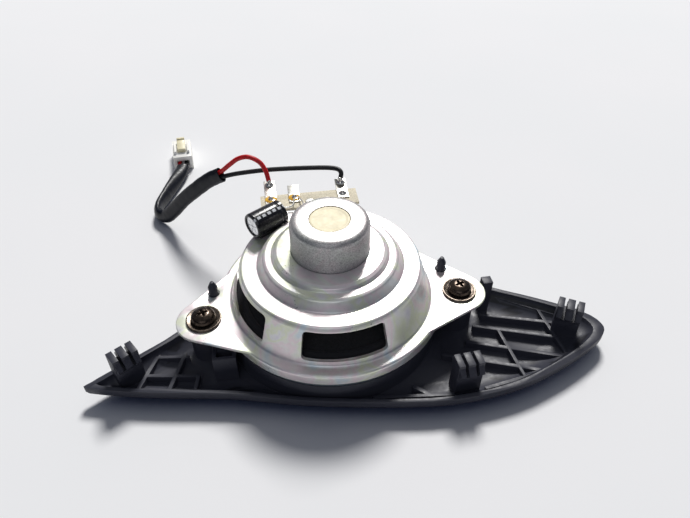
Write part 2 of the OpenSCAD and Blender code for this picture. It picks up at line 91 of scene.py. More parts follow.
# The Mix node's colour sockets, by their places in its lists
MIX_FIRST, MIX_SECOND, MIX_RESULT = 6, 7, 2


class LoudspeakerSizes(bpy.types.PropertyGroup):
    wire: FloatProperty(name="Wire", description="Diameter of one insulated wire",
                        default=1.7 * MM, unit="LENGTH", subtype="DISTANCE")
    edge: FloatProperty(name="Moulded edge", description="Rounding of the moulded edges",
                        default=0.22 * MM, unit="LENGTH", subtype="DISTANCE")
    sheared: FloatProperty(name="Sheared edge", description="Rounding of the sheared steel edges",
                           default=0.14 * MM, unit="LENGTH", subtype="DISTANCE")
    turns: IntProperty(name="Steps", description="Steps round a turned piece", default=144)


class LoudspeakerFinish(bpy.types.PropertyGroup):
    panel: FloatVectorProperty(name="Panel", description="Moulded panel", subtype="COLOR",
                               default=(0.0115, 0.012, 0.0165))
    zinc: FloatVectorProperty(name="Zinc", description="Plated steel", subtype="COLOR",
                              default=(0.72, 0.72, 0.70))
    pot: FloatVectorProperty(name="Pot", description="Motor pot", subtype="COLOR",
                             default=(0.44, 0.435, 0.42))
    cream: FloatVectorProperty(name="Cream", description="Disc on the pot", subtype="COLOR",
                               default=(0.86, 0.78, 0.55))
    red: FloatVectorProperty(name="Red", description="Red insulation", subtype="COLOR",
                             default=(0.52, 0.008, 0.012))
    black: FloatVectorProperty(name="Black", description="Black insulation", subtype="COLOR",
                               default=(0.012, 0.012, 0.014))
    nylon: FloatVectorProperty(name="Nylon", description="Connector", subtype="COLOR",
                               default=(0.80, 0.79, 0.74))


def fill_ramp(ramp, stops):
    """Sets a colour ramp's stops, each a position with a grey or a colour."""
    while len(ramp.elements) < len(stops):
        ramp.elements.new(0.5)
    for element, (position, colour) in zip(ramp.elements, stops):
        if not hasattr(colour, "__len__"):
            colour = (colour, colour, colour)
        element.position, element.color = position, (*colour, 1)


def place(x, y, z):
    """A point given in millimetres from the loudspeaker's axis, in metres."""
    return AXIS + Vector((x, y, z)) * MM


# ---- Finishes -----------------------------------------------------------------


class Finish:
    """One procedural finish. Its patterns are laid out in millimetres on the piece."""

    def __init__(self, name, **sockets):
        self.material = bpy.data.materials.new(name)
        self.material.use_nodes = True
        self.tree = self.material.node_tree
        self.shader = self.tree.nodes["Principled BSDF"]
        for key, value in sockets.items():
            self.shader.inputs[key.replace("_", " ")].default_value = value
        coordinates = self.tree.nodes.new("ShaderNodeTexCoord")
        mapping = self.tree.nodes.new("ShaderNodeMapping")
        self.tree.links.new(coordinates.outputs["Object"], mapping.inputs["Vector"])
        mapping.inputs["Scale"].default_value = [1000] * 3
        mapping.inputs["Location"].default_value = [-c * 1000 for c in AXIS]
        self.at = mapping.outputs["Vector"]

    def put(self, socket, value):
        if isinstance(value, bpy.types.NodeSocket):
            self.tree.links.new(value, socket)
        elif value is not None:
            socket.default_value = value

    def noise(self, scale, detail=3.0, rough=0.5, warp=0.0):
        node = self.tree.nodes.new("ShaderNodeTexNoise")
        self.put(node.inputs["Vector"], self.at)
        for key, value in (("Scale", scale), ("Detail", detail), ("Roughness", rough),
                           ("Distortion", warp)):
            node.inputs[key].default_value = value
        return node.outputs["Fac"]

    def cells(self, scale):
        node = self.tree.nodes.new("ShaderNodeTexVoronoi")
        self.put(node.inputs["Vector"], self.at)
        node.inputs["Scale"].default_value = scale
        return node.outputs["Distance"]

    def bands(self, scale, direction):
        node = self.tree.nodes.new("ShaderNodeTexWave")
        node.bands_direction = direction
        self.put(node.inputs["Vector"], self.at)
        node.inputs["Scale"].default_value = scale
        return node.outputs["Fac"]

    def ramp(self, value, *stops):
        node = self.tree.nodes.new("ShaderNodeValToRGB")
        self.put(node.inputs["Fac"], value)
        fill_ramp(node.color_ramp, stops)
        return node.outputs["Color"]

    def mix(self, amount, first, second, how="MIX"):
        node = self.tree.nodes.new("ShaderNodeMix")
        node.data_type, node.blend_type = "RGBA", how
        self.put(node.inputs["Factor"], amount)
        for place_in_list, value in ((MIX_FIRST, first), (MIX_SECOND, second)):
            if hasattr(value, "__len__"):
                value = (*value[:3], 1)
            self.put(node.inputs[place_in_list], value)
        return node.outputs[MIX_RESULT]

    def maths(self, how, first, second=None):
        node = self.tree.nodes.new("ShaderNodeMath")
        node.operation = how
        self.put(node.inputs[0], first)
        self.put(node.inputs[1], second)
        return node.outputs[0]

    def colour(self, value):
        self.put(self.shader.inputs["Base Color"], value)
        return self

    def rough(self, value):
        self.put(self.shader.inputs["Roughness"], value)
        return self

    def bump(self, height, depth, strength=0.6):
        """Depth is the pattern's height in millimetres."""
        node = self.tree.nodes.new("ShaderNodeBump")
        node.inputs["Strength"].default_value = strength
        node.inputs["Distance"].default_value = depth * MM
        before = self.shader.inputs["Normal"].links
        if before:
            self.put(node.inputs["Normal"], before[0].from_socket)
        self.put(node.inputs["Height"], height)
        self.put(self.shader.inputs["Normal"], node.outputs["Normal"])
        return self

    def edges(self):
        """How sharply the piece's surface turns outward here, from 0 to 1."""
        node = self.tree.nodes.new("ShaderNodeNewGeometry")
        return self.ramp(node.outputs["Pointiness"], (0.5, 0.0), (0.56, 1.0))


def shade(colour, factor):
    return tuple(min(1.0, c * factor) for c in colour)


def plated_zinc(name, base, grain=0.5):
    """Bright zinc with a thin rainbow film, a faint mottle and small dark scuffs."""
    f = Finish(name, Metallic=0.68)
    film = f.noise(0.06, 2, 0.5, 1.6)
    tint = f.ramp(film, (0.30, (0.62, 0.76, 0.86)), (0.38, (0.84, 0.84, 0.82)),
                  (0.46, (0.90, 0.70, 0.76)), (0.53, (0.86, 0.86, 0.80)),
                  (0.60, (0.80, 0.86, 0.56)), (0.68, (0.84, 0.84, 0.84)),
                  (0.78, (0.70, 0.66, 0.86)))
    body = f.mix(0.55, base, tint)
    body = f.mix(1.0, body, f.ramp(f.noise(0.7, 4, 0.6), (0.3, 0.93), (0.7, 1.0)), "MULTIPLY")
    fleck = f.ramp(f.noise(1.9, 1, 0.4), (0.69, 0.0), (0.73, 1.0))
    patch = f.ramp(f.noise(0.11, 1, 0.5, 0.4), (0.62, 0.0), (0.68, 1.0))
    scuff = f.mix(1.0, fleck, patch, "MULTIPLY")
    f.colour(f.mix(scuff, body, (0.10, 0.10, 0.11)))
    f.rough(f.ramp(f.noise(0.5, 4, 0.6), (0.3, 0.34), (0.7, 0.46)))
    f.bump(f.noise(3.2, 4, 0.6), 0.012 * grain, 0.5)
    f.bump(f.noise(0.16, 2, 0.5), 0.08 * grain, 0.35)
    return f.material


def grained_pot(base):
    """Dull plated steel with an even orange-peel grain."""
    f = Finish("pot_zinc", Metallic=0.6)
    film = f.noise(0.09, 3, 0.6, 0.8)
    tint = f.ramp(film, (0.30, (0.62, 0.64, 0.62)), (0.45, (0.66, 0.58, 0.60)),
                  (0.55, (0.60, 0.60, 0.60)), (0.70, (0.58, 0.64, 0.58)))
    grain = f.ramp(f.noise(2.6, 3, 0.75), (0.36, 0.50), (0.60, 1.0))
    body = f.mix(1.0, f.mix(0.5, base, tint), grain, "MULTIPLY")
    f.colour(body)
    f.rough(f.ramp(f.noise(1.6, 4, 0.6), (0.3, 0.30), (0.7, 0.50)))
    f.bump(f.noise(2.6, 4, 0.65), 0.05, 0.7)
    return f.material


def moulded_plastic(name, colour, gloss=0.45, texture=0.02, edge_highlight=1.9):
    """Moulded plastic with a fine spark texture, and outward-turned edges painted paler as a
    highlight.
    """
    f = Finish(name, Specular_IOR_Level=0.3)
    tone = f.ramp(f.noise(0.16, 4, 0.6), (0.3, shade(colour, 0.75)), (0.7, shade(colour, 1.35)))
    # Painted highlight: sharp outward edges are mixed towards a paler copy of the colour.
    f.colour(f.mix(f.edges(), tone, shade(colour, edge_highlight)))
    f.rough(f.ramp(f.noise(0.7, 4, 0.6), (0.3, gloss - 0.06), (0.7, gloss + 0.1)))
    f.bump(f.noise(5.0, 3, 0.6), texture, 0.6)
    return f.material


def insulation(name, colour, gloss=0.32):
    """Soft insulation with faint scuffs."""
    f = Finish(name, Specular_IOR_Level=0.28)
    f.colour(f.ramp(f.noise(0.6, 4, 0.6), (0.3, shade(colour, 0.75)), (0.7, shade(colour, 1.25))))
    f.rough(f.ramp(f.noise(1.2, 3, 0.6), (0.3, gloss), (0.7, gloss + 0.15)))
    f.bump(f.noise(1.4, 3, 0.5), 0.03, 0.4)
    return f.material


def bare_metal(name, colour, rough=0.3, dull=0.75, metallic=0.85):
    """Bare or tinned metal with tarnish and fine grain."""
    f = Finish(name, Metallic=metallic)
    f.colour(f.ramp(f.noise(0.8, 5, 0.65), (0.3, shade(colour, dull)), (0.62, colour)))
    f.rough(f.ramp(f.noise(1.5, 4, 0.6), (0.3, rough - 0.06), (0.7, rough + 0.12)))
    f.bump(f.noise(4.0, 3, 0.6), 0.015, 0.5)
    return f.material


def woven(name, colour, pitch=2.2, gloss=0.85, depth=0.06):
    """Plain weave: two sets of bands across each other."""
    f = Finish(name, Specular_IOR_Level=0.3)
    warp, weft = f.bands(pitch, "X"), f.bands(pitch, "Y")
    weave = f.mix(0.5, warp, weft, "DIFFERENCE")
    stain = f.noise(0.2, 3, 0.6)
    f.colour(f.mix(f.maths("MULTIPLY", stain, 0.6), f.mix(weave, shade(colour, 0.6), colour),
                   shade(colour, 1.3)))
    f.rough(f.ramp(stain, (0.3, gloss - 0.05), (0.7, gloss + 0.05)))
    f.bump(weave, depth, 0.8)
    return f.material


def fibrous(name, colour, gloss=0.9, depth=0.05):
    """Pressed paper or foam with a matted surface."""
    f = Finish(name, Specular_IOR_Level=0.25)
    f.colour(f.ramp(f.noise(1.8, 6, 0.75), (0.3, shade(colour, 0.65)), (0.7, shade(colour, 1.35))))
    f.rough(f.ramp(f.noise(0.8, 3, 0.6), (0.3, gloss - 0.08), (0.7, min(1.0, gloss + 0.05))))
    f.bump(f.noise(2.6, 6, 0.8), depth, 0.8)
    return f.material


def glued_disc(colour):
    """Cream resin disc with a mottled, slightly sunken skin."""
    f = Finish("plug_cream", Specular_IOR_Level=0.35)
    patch = f.ramp(f.noise(0.35, 4, 0.6, 0.5), (0.32, shade(colour, 0.88)),
                   (0.52, colour), (0.68, shade(colour, 1.08)))
    speck = f.ramp(f.cells(1.6), (0.0, 0.0), (0.25, 1.0))
    f.colour(f.mix(1.0, patch, f.mix(0.08, (1, 1, 1), speck), "MULTIPLY"))
    f.rough(f.ramp(f.noise(0.9, 3, 0.5), (0.3, 0.42), (0.7, 0.62)))
    f.bump(f.noise(1.2, 4, 0.6), 0.06, 0.6)
    return f.material


def sleeve_print(name):
    """Black shrink film with a pale broken stripe along one side, as on any small can."""
    f = Finish(name, Specular_IOR_Level=0.5)
    base = f.ramp(f.noise(0.7, 3, 0.6), (0.3, (0.004, 0.004, 0.006)), (0.7, (0.012, 0.012, 0.015)))
    turn = f.tree.nodes.new("ShaderNodeMapping")
    f.put(turn.inputs["Vector"], f.at)
    turn.vector_type = "TEXTURE"
    turn.inputs["Location"].default_value = (*CAP_FROM, CAP_Z)
    turn.inputs["Rotation"].default_value = (0, 0, CAP_TURN)
    split = f.tree.nodes.new("ShaderNodeSeparateXYZ")
    f.put(split.inputs[0], turn.outputs["Vector"])
    along, sideways, height = split.outputs
    dash = f.maths("LESS_THAN", f.maths("PINGPONG", f.maths("ADD", along, 0.4), 1.0), 0.62)
    stripe = f.maths("LESS_THAN", f.maths("ABSOLUTE", f.maths("ADD", sideways, 2.0)), 0.42)
    mark = f.maths("MULTIPLY", f.maths("MULTIPLY", dash, stripe),
                   f.maths("GREATER_THAN", height, 0.0))
    f.colour(f.mix(mark, base, (0.62, 0.64, 0.66)))
    f.rough(f.ramp(f.noise(1.1, 3, 0.5), (0.3, 0.18), (0.7, 0.30)))
    f.bump(f.noise(0.9, 3, 0.5), 0.05, 0.5)
    return f.material


def paint(obj, material):
    obj.data.materials.clear()
    obj.data.materials.append(material)


# ---- Modelling ----------------------------------------------------------------


def clear_selection():
    if bpy.context.mode != "OBJECT":
        bpy.ops.object.mode_set(mode="OBJECT")
    bpy.ops.object.select_all(action="DESELECT")


def make_active(obj):
    clear_selection()
    obj.select_set(True)
    bpy.context.view_layer.objects.active = obj


def enclosed(obj):
    """Volume inside the piece, below zero where its faces point inward."""
    obj.data.calc_loop_triangles()
    points = [v.co for v in obj.data.vertices]
    return sum(points[a].dot(points[b].cross(points[c]))
               for a, b, c in (t.vertices for t in obj.data.loop_triangles)) / 6


def tidy_mesh(obj, merge=0.002, outward=True):
    """Merges double points and turns the faces outward."""
    make_active(obj)
    bpy.ops.object.mode_set(mode="EDIT")
    bpy.ops.mesh.select_all(action="SELECT")
    bpy.ops.mesh.remove_doubles(threshold=merge * MM)
    if outward:
        bpy.ops.mesh.normals_make_consistent(inside=False)
        obj.update_from_editmode()
        if enclosed(obj) < 0:
            bpy.ops.mesh.flip_normals()
    bpy.ops.object.mode_set(mode="OBJECT")


def modify(obj, kind, **settings):
    """Adds one modifier and applies it."""
    make_active(obj)
    modifier = obj.modifiers.new(kind.title(), kind)
    for key, value in settings.items():
        setattr(modifier, key, value)
    bpy.ops.object.modifier_apply(modifier=modifier.name)


def soften(obj, width, limit=35, segments=2):
    """Rounds the edges sharper than the limit, in degrees."""
    modify(obj, "BEVEL", width=width, segments=segments, limit_method="ANGLE",
           angle_limit=radians(limit), use_clamp_overlap=True, harden_normals=False)


def smooth(obj, angle=35):
    make_active(obj)
    bpy.ops.object.shade_smooth_by_angle(angle=radians(angle))


def settle(obj, matrix=None):
    """Puts the piece in its place and bakes the place into its mesh."""
    make_active(obj)
    if matrix is not None:
        obj.matrix_world = matrix
    bpy.ops.object.transform_apply(location=True, rotation=True, scale=True)


def seat(obj, body, slot, material, *nodes):
    """Gives a finished piece its finish, its body and the parts it stands for."""
    paint(obj, material)
    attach(obj, body)
    if nodes:
        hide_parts(*nodes)
    return obj


def rounded(points, closed=False, steps=5):
    """Profile of (radius, height) or (radius, height, rounding), with arcs in the corners."""
    out = []
    count = len(points)
    for i, point in enumerate(points):
        here = Vector(point[:2])
        radius = point[2] if len(point) > 2 else 0
        if not radius or (not closed and i in (0, count - 1)):
            out.append(here)
            continue
        back = Vector(points[i - 1][:2]) - here
        ahead = Vector(points[(i + 1) % count][:2]) - here
        bend = back.angle(ahead)
        reach = min(radius / max(1e-6, abs(sin(bend / 2) / cos(bend / 2))),
                    0.49 * back.length, 0.49 * ahead.length)
        start, end = here + back.normalized() * reach, here + ahead.normalized() * reach
        for k in range(steps + 1):
            t = k / steps
            out.append(start.lerp(here, t).lerp(here.lerp(end, t), t))
    return out


def turned(name, profile, closed=True, steps=None, centre=(0, 0)):
    """Turned piece: a point drawn out along the profile, then spun round the axis."""
    steps = steps or bpy.context.scene.loudspeaker_sizes.turns
    axis = place(centre[0], centre[1], 0)
    path = list(profile) + ([profile[0]] if closed else [])
    clear_selection()
    bpy.ops.mesh.primitive_plane_add(size=MM, location=axis)
    obj = bpy.context.active_object
    obj.name = obj.data.name = name
    settle(obj)
    bpy.ops.object.mode_set(mode="EDIT")
    bpy.ops.mesh.select_all(action="SELECT")
    bpy.ops.mesh.merge(type="CENTER")
    first = Vector((path[0][0], 0, path[0][1])) * MM
    bpy.ops.transform.translate(value=first)
    for a, b in zip(path, path[1:]):
        step = Vector((b[0] - a[0], 0, b[1] - a[1])) * MM
        bpy.ops.mesh.extrude_region_move(TRANSFORM_OT_translate={"value": step})
    bpy.ops.mesh.select_all(action="SELECT")
    bpy.ops.mesh.spin(steps=steps, angle=2 * pi, center=axis, axis=(0, 0, 1))
    bpy.ops.object.mode_set(mode="OBJECT")
    tidy_mesh(obj)
    return obj


def prism(name, low, high):
    """Solid between two loops of points: a disc drawn out from one to the other."""
    clear_selection()
    bpy.ops.mesh.primitive_circle_add(vertices=len(low), fill_type="NGON")
    obj = bpy.context.active_object
    obj.name = obj.data.name = name
    for vertex, point in zip(obj.data.vertices, low):
        vertex.co = point
    count = len(low)
    bpy.ops.object.mode_set(mode="EDIT")
    bpy.ops.mesh.select_all(action="SELECT")
    bpy.ops.mesh.extrude_region_move()
    bpy.ops.object.mode_set(mode="OBJECT")
    raised = {tuple(round(c, 7) for c in p): Vector(q) for p, q in zip(low, high)}
    for vertex in list(obj.data.vertices)[:2 * count]:
        if vertex.select:
            key = tuple(round(c, 7) for c in vertex.co)
            vertex.co = raised.get(key, vertex.co)
    tidy_mesh(obj, merge=0.0005)
    return obj


def block(name, low, high, rounding):
    """Box between two corners in millimetres from the axis, with rounded edges."""
    clear_selection()
    a, b = place(*low), place(*high)
    bpy.ops.mesh.primitive_cube_add(size=1, location=(a + b) / 2)
    obj = bpy.context.active_object
    obj.name = obj.data.name = name
    obj.scale = b - a
    settle(obj)
    if rounding:
        soften(obj, rounding * MM, 30)
    return obj


def cut_away(obj, *cutters):
    for cutter in cutters:
        modify(obj, "BOOLEAN", operation="DIFFERENCE", solver="EXACT", object=cutter)
        bpy.data.objects.remove(cutter)


def gathered(name, pieces):
    """Joins like pieces into one object."""
    make_active(pieces[0])
    for piece in pieces[1:]:
        piece.select_set(True)
    if len(pieces) > 1:
        bpy.ops.object.join()
    obj = bpy.context.active_object
    obj.name = obj.data.name = name
    return obj


def copied(obj, matrix):
    """Another of the same piece, with its own mesh."""
    other = obj.copy()
    other.data = obj.data.copy()
    bpy.context.scene.collection.objects.link(other)
    settle(other, matrix)
    return other


def refined(node, body, slot, material, width, limit=35, segments=2, angle=35):
    """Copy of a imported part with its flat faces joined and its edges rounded."""
    source = frame["nodes"][node]
    obj = source.copy()
    obj.data = source.data.copy()
    obj.name = obj.data.name = node + "_fine"
    for key in list(obj.keys()):
        del obj[key]
    obj.parent = None
    bpy.context.scene.collection.objects.link(obj)
    obj.matrix_world = Matrix.Identity(4)
    tidy_mesh(obj, merge=0.0008, outward=False)
    bpy.ops.object.mode_set(mode="EDIT")
    bpy.ops.mesh.select_all(action="SELECT")
    bpy.ops.mesh.dissolve_limited(angle_limit=radians(0.4))
    bpy.ops.object.mode_set(mode="OBJECT")
    if width:
        soften(obj, width, limit, segments)
    smooth(obj, angle)
    return seat(obj, body, slot, material, node)


# ---- Paths ----------------------------------------------------------------------


def smooth_path(knots, steps):
    """Smooth open curve through the knots, with steps points on each stretch."""
    knots = [Vector(k) for k in knots]
    out = []
    for i in range(len(knots) - 1):
        b, c = knots[i], knots[i + 1]
        a = knots[i - 1] if i else 2 * b - c
        d = knots[i + 2] if i + 2 < len(knots) else 2 * c - b
        for s in range(steps):
            t = s / steps
            out.append(0.5 * (2 * b + (c - a) * t + (2 * a - 5 * b + 4 * c - d) * t * t
                              + (3 * b - a - 3 * c + d) * t ** 3))
    out.append(knots[-1])
    return out


def round_cord(name, points, radius):
    """Cord as one open line with a round section."""
    curve = bpy.data.curves.new(name, "CURVE")
    curve.dimensions = "3D"
    curve.bevel_depth = radius
    curve.bevel_resolution = 5
    curve.use_fill_caps = True
    line = curve.splines.new("POLY")
    line.points.add(len(points) - 1)
    for spot, point in zip(line.points, points):
        spot.co = (*point, 1)
    line.use_smooth = True
    obj = bpy.data.objects.new(name, curve)
    bpy.context.scene.collection.objects.link(obj)
    return obj


def tube_shell(name, path, across, wide, thin, skin, count=28):
    """Flattened hollow tube along a path. wide and thin are half-widths, in metres."""
    verts, faces = [], []
    rings = len(path)
    for inner in (0, 1):
        for i, point in enumerate(path):
            t = (path[min(i + 1, rings - 1)] - path[max(i - 1, 0)]).normalized()
            w = (across[i] - across[i].dot(t) * t).normalized()
            v = t.cross(w)
            a, b = wide(i) - inner * skin, thin(i) - inner * skin
            for k in range(count):
                turn = 2 * pi * k / count
                verts.append(point + w * a * cos(turn) + v * b * sin(turn))
    shift = rings * count
    for i in range(rings - 1):
        for k in range(count):
            n = (k + 1) % count
            a, b, c, d = i * count + k, i * count + n, (i + 1) * count + n, (i + 1) * count + k
            faces.append((a, b, c, d))
            faces.append((shift + d, shift + c, shift + b, shift + a))
    for k in range(count):
        n = (k + 1) % count
        faces.append((shift + k, shift + n, n, k))
        last = (rings - 1) * count
        faces.append((last + k, last + n, shift + last + n, shift + last + k))
    mesh = bpy.data.meshes.new(name)
    mesh.from_pydata([tuple(v) for v in verts], [], faces)
    obj = bpy.data.objects.new(name, mesh)
    bpy.context.scene.collection.objects.link(obj)
    tidy_mesh(obj, merge=0.0001)
    smooth(obj, 50)
    return obj


# ---- Camera and stage -------------------------------------------------------------


class LOUDSPEAKER_OT_stage(bpy.types.Operator):
    """Sets the pale floor, the studio light and the camera"""
    bl_idname = "loudspeaker.stage"
    bl_label = "Stage"

    camera_at = (-0.0221, -0.1392, 0.1547)
    look = (0.1164, 0.7350, -0.6680)
    lens = 31.3
    aim = (0, 0, 0.02)
    # Bright overhead and behind, dim and bluish in front
    sky = ((0.0, (0.03, 0.04, 0.10)), (0.45, (0.06, 0.08, 0.16)), (0.8, (0.55, 0.59, 0.66)),
           (0.97, (1.0, 1.0, 1.0)))
    sky_faces = (0.12, 0.55, 0.83)
    backdrop = (1.86, 1.88, 1.92, 1)

    def execute(self, context):
        scene = context.scene
        scene.view_settings.view_transform = "Standard"
        data = bpy.data.cameras.new("camera")
        data.lens = self.lens
        data.sensor_width = 36
        data.clip_start = 0.01
        camera = bpy.data.objects.new("camera", data)
        camera.location = self.camera_at
        camera.rotation_euler = Vector(self.look).to_track_quat("-Z", "Y").to_euler()
        scene.collection.objects.link(camera)
        scene.camera = camera
        self.lamp("key", (1.30, 4.40, 5.00), 1.70, 480.0, (1, 0.985, 0.965))
        card = self.lamp("card", (-0.25, -0.95, 0.95), 1.20, 3.4, (0.94, 0.97, 1))
        lit = bpy.data.collections.new("lit_by_card")
        card.light_linking.receiver_collection = lit
        scene.world = self.studio_sky()
        clear_selection()
        bpy.ops.mesh.primitive_plane_add(size=4, location=(0, 0, -0.0002))
        floor = context.active_object
        floor.name = "floor"
        f = Finish("floor_paper", Specular_IOR_Level=0.0)
        f.colour(f.ramp(f.noise(0.01, 2, 0.5), (0.3, (0.86, 0.87, 0.88)),
                        (0.7, (0.88, 0.88, 0.89))))
        f.rough(1.0)
        paint(floor, f.material)
        return {"FINISHED"}

    def studio_sky(self):
        """Large pale ceiling that lights the pieces, and a flat backdrop that the camera sees."""
        world = bpy.data.worlds.new("studio")
        world.use_nodes = True
        tree = world.node_tree
        background = tree.nodes["Background"]
        background.inputs["Strength"].default_value = 0.44
        coordinates = tree.nodes.new("ShaderNodeTexCoord")
        facing = tree.nodes.new("ShaderNodeVectorMath")
        facing.operation = "DOT_PRODUCT"
        facing.inputs[1].default_value = self.sky_faces
        ramp = tree.nodes.new("ShaderNodeValToRGB")
        fill_ramp(ramp.color_ramp, self.sky)
        tree.links.new(coordinates.outputs["Generated"], facing.inputs[0])
        tree.links.new(facing.outputs["Value"], ramp.inputs["Fac"])
        seen = tree.nodes.new("ShaderNodeLightPath")
        choice = tree.nodes.new("ShaderNodeMix")
        choice.data_type = "RGBA"
        choice.inputs[MIX_SECOND].default_value = self.backdrop
        tree.links.new(seen.outputs["Is Camera Ray"], choice.inputs["Factor"])
        tree.links.new(ramp.outputs["Color"], choice.inputs[MIX_FIRST])
        tree.links.new(choice.outputs[MIX_RESULT], background.inputs["Color"])
        return world

    def lamp(self, name, at, size, power, colour):
        data = bpy.data.lights.new(name, "AREA")
        data.shape, data.size, data.energy, data.color = "DISK", size, power, colour
        lamp = bpy.data.objects.new(name, data)
        lamp.location = at
        lamp.rotation_euler = (Vector(self.aim) - Vector(at)).to_track_quat("-Z", "Y").to_euler()
        bpy.context.scene.collection.objects.link(lamp)
        return lamp


# ---- Cable ------------------------------------------------------------------------


class LOUDSPEAKER_OT_cable(bpy.types.Operator):
    """Lays the two wires, their sleeve and the connector"""
    bl_idname = "loudspeaker.cable"
    bl_label = "Cable"

    route = ((-33.5, 51, 30.2), (-38.5, 53.5, 26.6), (-44, 56, 21.4), (-50, 59, 15),
             (-55, 61.5, 8.6), (-59, 63.8, 4.2), (-62.4, 67.4, 3.1), (-62.6, 73, 3),
             (-60.4, 80, 3), (-57.8, 88, 3), (-55.6, 95, 3), (-54.6, 99, 3), (-54.2, 101.5, 3))
    across = ((0.62, -0.5, -0.6), (0.6, -0.5, -0.62), (0.55, -0.5, -0.67), (0.4, -0.45, -0.8),
              (0.25, -0.3, -0.92), (0.1, -0.15, -0.98), (0, 0, -1), (0.1, 0, -0.98),
              (0.4, 0.1, -0.9), (0.7, 0.2, -0.68), (0.9, 0.2, -0.35), (1, 0.15, -0.1),
              (1, 0.1, 0))
    red_start = ((-16.4, 41, 31.9), (-17.2, 43.2, 35.2), (-19, 45.2, 37.8), (-22.6, 47, 39.2),
                 (-26.4, 48.2, 38.2), (-30, 49.6, 35))
    black_start = ((9, 38.6, 31.9), (9.4, 40.6, 34), (6.4, 42.8, 34.4), (-4, 45.6, 33.6),
                   (-16, 47.6, 32.8), (-25, 49, 31.6), (-30, 49.8, 30.6))
    plug_end = ((-54.1, 103.8, 3), (-54.2, 106.3, 3))
    gap = 0.98
    contact = 1.5

    def beside(self, s):
        """The sleeve's middle line moved to one of its two wires."""
        out = []
        points = [Vector(p) for p in self.route]
        for i, point in enumerate(points):
            t = (points[min(i + 1, len(points) - 1)] - points[max(i - 1, 0)]).normalized()
            w = Vector(self.across[i])
            out.append(point + s * self.gap * (w - w.dot(t) * t).normalized())
        return out

    def wire(self, name, start, s, colour, node, kit):
        turn = Vector((cos(PLUG_TURN), sin(PLUG_TURN), 0))
        knots = list(start) + self.beside(s)
        knots += [Vector(p) + s * self.contact * turn for p in self.plug_end]
        points = [place(*p) for p in smooth_path(knots, 8)]
        size = bpy.context.scene.loudspeaker_sizes.wire
        cord = round_cord(name, points, size / 2)
        seat(cord, "frame", colour[0], insulation(colour[0], colour[1]), node)

    def execute(self, context):
        finish = context.scene.loudspeaker_finish
        path = [place(*p) for p in smooth_path(self.route, 10)]
        across = smooth_path(self.across, 10)
        dice = random.Random(4)
        ripple = [dice.uniform(-0.05, 0.05) for _ in path]
        sleeve = tube_shell("sleeve", path, across, lambda i: (2.85 + ripple[i]) * MM,
                            lambda i: (1.72 - ripple[i]) * MM, 0.42 * MM)
        seat(sleeve, "frame", "sleeve_pvc",
             insulation("sleeve_pvc", (0.005, 0.006, 0.011), 0.3), "wire_sleeve")
        nylon = moulded_plastic("connector_nylon", finish.nylon, 0.4, 0.012, 1.15)
        housing = refined("connector_housing", "frame", "connector_nylon", nylon, 0.28 * MM)
        latch = refined("connector_latch", "latch", "connector_nylon",
                        moulded_plastic("latch_nylon", (0.74, 0.68, 0.46), 0.4, 0.012, 1.1),
                        0.16 * MM)
        contacts = refined("connector_contacts", "frame", "contact_tin",
                           bare_metal("contact_tin", (0.72, 0.66, 0.50)), 0.06 * MM)
        self.wire("red_lead", self.red_start, -1, ("red_pvc", finish.red), "red_wire",
                  [sleeve, housing, latch])
        self.wire("black_lead", self.black_start, 1, ("black_pvc", finish.black), "black_wire",
                  [contacts])
        return {"FINISHED"}


# ---- Basket -------------------------------------------------------------------------


